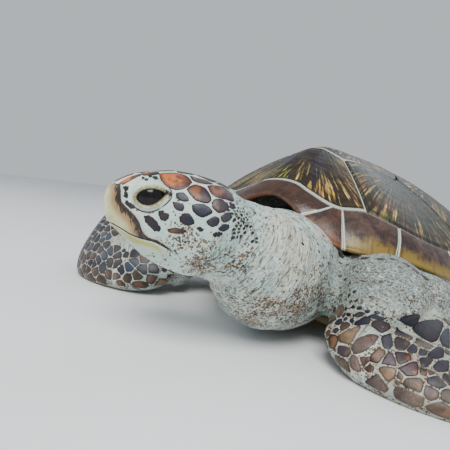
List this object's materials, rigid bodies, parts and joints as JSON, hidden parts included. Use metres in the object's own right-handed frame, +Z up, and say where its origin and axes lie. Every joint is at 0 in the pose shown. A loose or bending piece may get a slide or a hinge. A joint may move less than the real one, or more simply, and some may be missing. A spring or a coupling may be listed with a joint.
{
  "type": "green sea turtle",
  "caption": "Life-size still model of a green sea turtle resting on its belly, head raised and turned to its right, front flippers planted.",
  "frame": {"origin": "centre of the flat underside of the lower shell, on the floor and on the midline", "axes": "+Z up; the head end points to -Y and the tail to +Y; the animal's left side is +X"},
  "size_m": [0.9428, 1.1945, 0.3152],
  "materials": {
    "scute": "wet horny plate, dark brown with amber and olive rays",
    "rim": "wet horny plate, chestnut mottled dark with a pale edge",
    "plastron": "smooth cream yellow horn",
    "skin": "pale wrinkled skin with dark pale-edged scales",
    "beak": "ivory horn with a tan band",
    "eye": "wet, near black",
    "claw": "worn horn"
  },
  "bodies": {
    "root": {"beak_lower": "beak", "beak_upper": "beak", "claw_front_left": "claw", "claw_front_right": "claw", "claw_hind_left": "claw", "claw_hind_right": "claw", "costal_left_1": "scute", "costal_left_2": "scute", "costal_left_3": "scute", "costal_left_4": "scute", "costal_right_1": "scute", "costal_right_2": "scute", "costal_right_3": "scute", "costal_right_4": "scute", "eye_left": "eye", "eye_right": "eye", "front_flipper_left": "skin", "front_flipper_right": "skin", "head": "skin", "hind_flipper_left": "skin", "hind_flipper_right": "skin", "marginal_left_1": "rim", "marginal_left_10": "rim", "marginal_left_11": "rim", "marginal_left_12": "rim", "marginal_left_2": "rim", "marginal_left_3": "rim", "marginal_left_4": "rim", "marginal_left_5": "rim", "marginal_left_6": "rim", "marginal_left_7": "rim", "marginal_left_8": "rim", "marginal_left_9": "rim", "marginal_right_1": "rim", "marginal_right_10": "rim", "marginal_right_11": "rim", "marginal_right_12": "rim", "marginal_right_2": "rim", "marginal_right_3": "rim", "marginal_right_4": "rim", "marginal_right_5": "rim", "marginal_right_6": "rim", "marginal_right_7": "rim", "marginal_right_8": "rim", "marginal_right_9": "rim", "neck": "skin", "nuchal": "rim", "plastron": "plastron", "tail": "skin", "trunk": "skin", "upper_arm_left": "skin", "upper_arm_right": "skin", "vertebral_1": "scute", "vertebral_2": "scute", "vertebral_3": "scute", "vertebral_4": "scute", "vertebral_5": "scute"}
  },
  "joints": []
}
